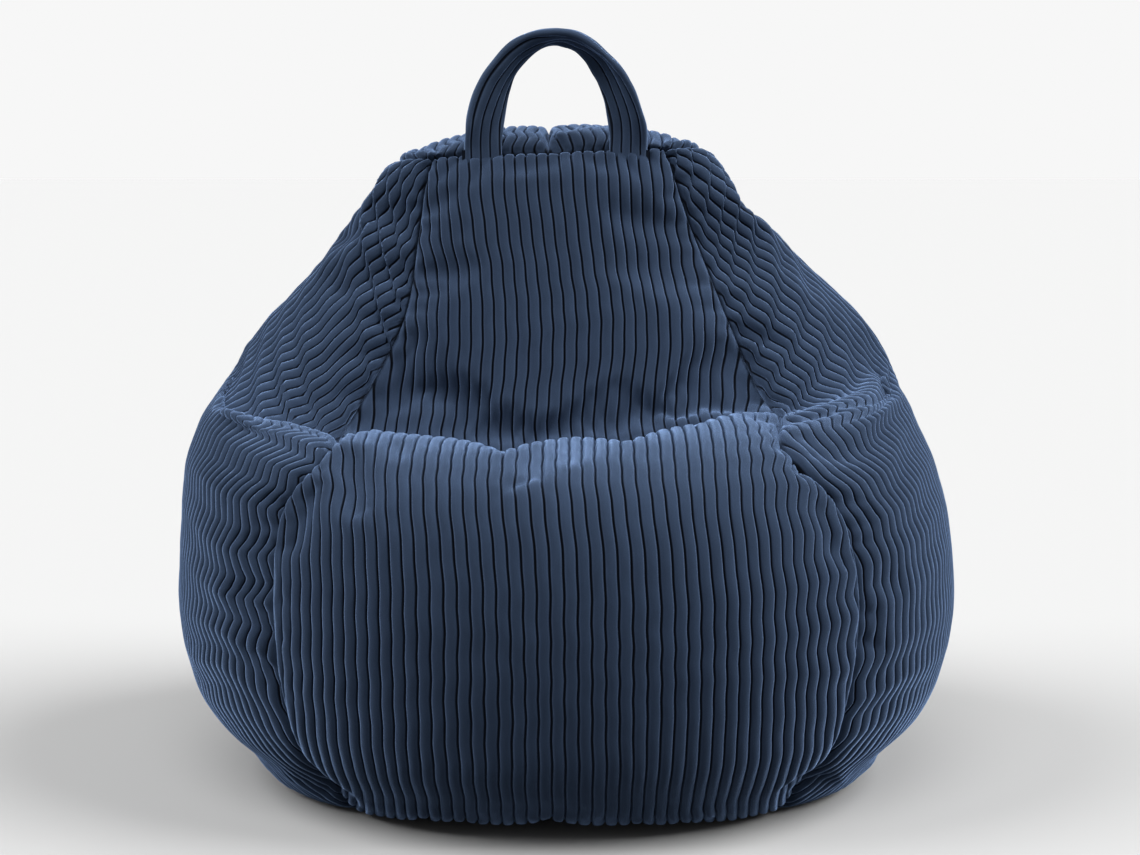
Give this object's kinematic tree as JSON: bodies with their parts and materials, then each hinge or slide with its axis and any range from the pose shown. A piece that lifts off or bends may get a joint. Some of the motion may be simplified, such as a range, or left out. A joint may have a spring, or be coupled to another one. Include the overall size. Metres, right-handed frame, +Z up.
{
  "type": "bean bag chair",
  "caption": "Pear-shaped corduroy bean bag chair with a low seat, a soft backrest, a carrying handle sewn into the top seam and a zipped removable cover over a bead-filled liner.",
  "frame": {"origin": "on the floor, under the middle of the chair's width and depth", "axes": "+Z up, -Y towards the sitter's knees (the seat's front), +X to the right as the chair is looked at from the front"},
  "size_m": [0.8314, 0.7612, 0.7976],
  "materials": {
    "corduroy": "wide-wale cotton-look corduroy, navy",
    "strap_corduroy": "wide-wale corduroy, navy, folded and padded",
    "base_cloth": "plain woven, dark navy",
    "zip_tape": "woven tape, dark navy",
    "zip_coil": "satin nylon, dark navy",
    "zip_metal": "enamelled zinc, dark navy",
    "liner_cloth": "plain woven, off-white",
    "liner_zip_tape": "woven tape, off-white",
    "liner_zip_coil": "satin nylon, off-white",
    "foam_beads": "expanded polystyrene beads",
    "label_cloth": "satin ribbon, blank"
  },
  "bodies": {
    "cover": {"front_panel": "corduroy", "backrest_panel": "corduroy", "left_side_panel": "corduroy", "right_side_panel": "corduroy", "rear_left_panel": "corduroy", "rear_right_panel": "corduroy", "base_panel": "base_cloth", "handle_tail_left": "strap_corduroy", "handle_tail_right": "strap_corduroy", "zip_tape_left": "zip_tape", "zip_tape_right": "zip_tape", "zip_coil_left": "zip_coil", "zip_coil_right": "zip_coil", "zip_bottom_stop": "zip_metal", "zip_top_stop": "zip_metal", "liner_bag": "liner_cloth", "bead_fill": "foam_beads", "liner_zip_tape_front": "liner_zip_tape", "liner_zip_tape_rear": "liner_zip_tape", "liner_zip_coil_front": "liner_zip_coil", "liner_zip_coil_rear": "liner_zip_coil", "liner_zip_stop_left": "zip_metal", "liner_zip_stop_right": "zip_metal", "care_label": "label_cloth"},
    "handle": {"handle_strap": "strap_corduroy"},
    "zip_slider": {"zip_slider": "zip_metal"},
    "zip_pull_tab": {"zip_pull_tab": "zip_metal"},
    "liner_zip_slider": {"liner_zip_slider": "zip_metal"}
  },
  "joints": [
    {"name": "handle_swing", "type": "hinge", "parent": "cover", "child": "handle", "pos_m": [0, 0.05902, 0.66907], "axis": [1, 0, 0], "range_deg": [-30, 80], "stiffness_Nm_per_rad": 0.08},
    {"name": "zip_slider_travel", "type": "hinge", "parent": "cover", "child": "zip_slider", "pos_m": [0, -0.045, 0.262], "axis": [1, 0, 0], "range_deg": [-41, 0]},
    {"name": "zip_pull_swing", "type": "hinge", "parent": "zip_slider", "child": "zip_pull_tab", "pos_m": [0, 0.33681, 0.45161], "axis": [1, 0, 0], "range_deg": [0, 165]},
    {"name": "liner_zip_slider_travel", "type": "slide", "parent": "cover", "child": "liner_zip_slider", "axis": [1, 0, 0], "range_m": [-0.166, 0]}
  ]
}
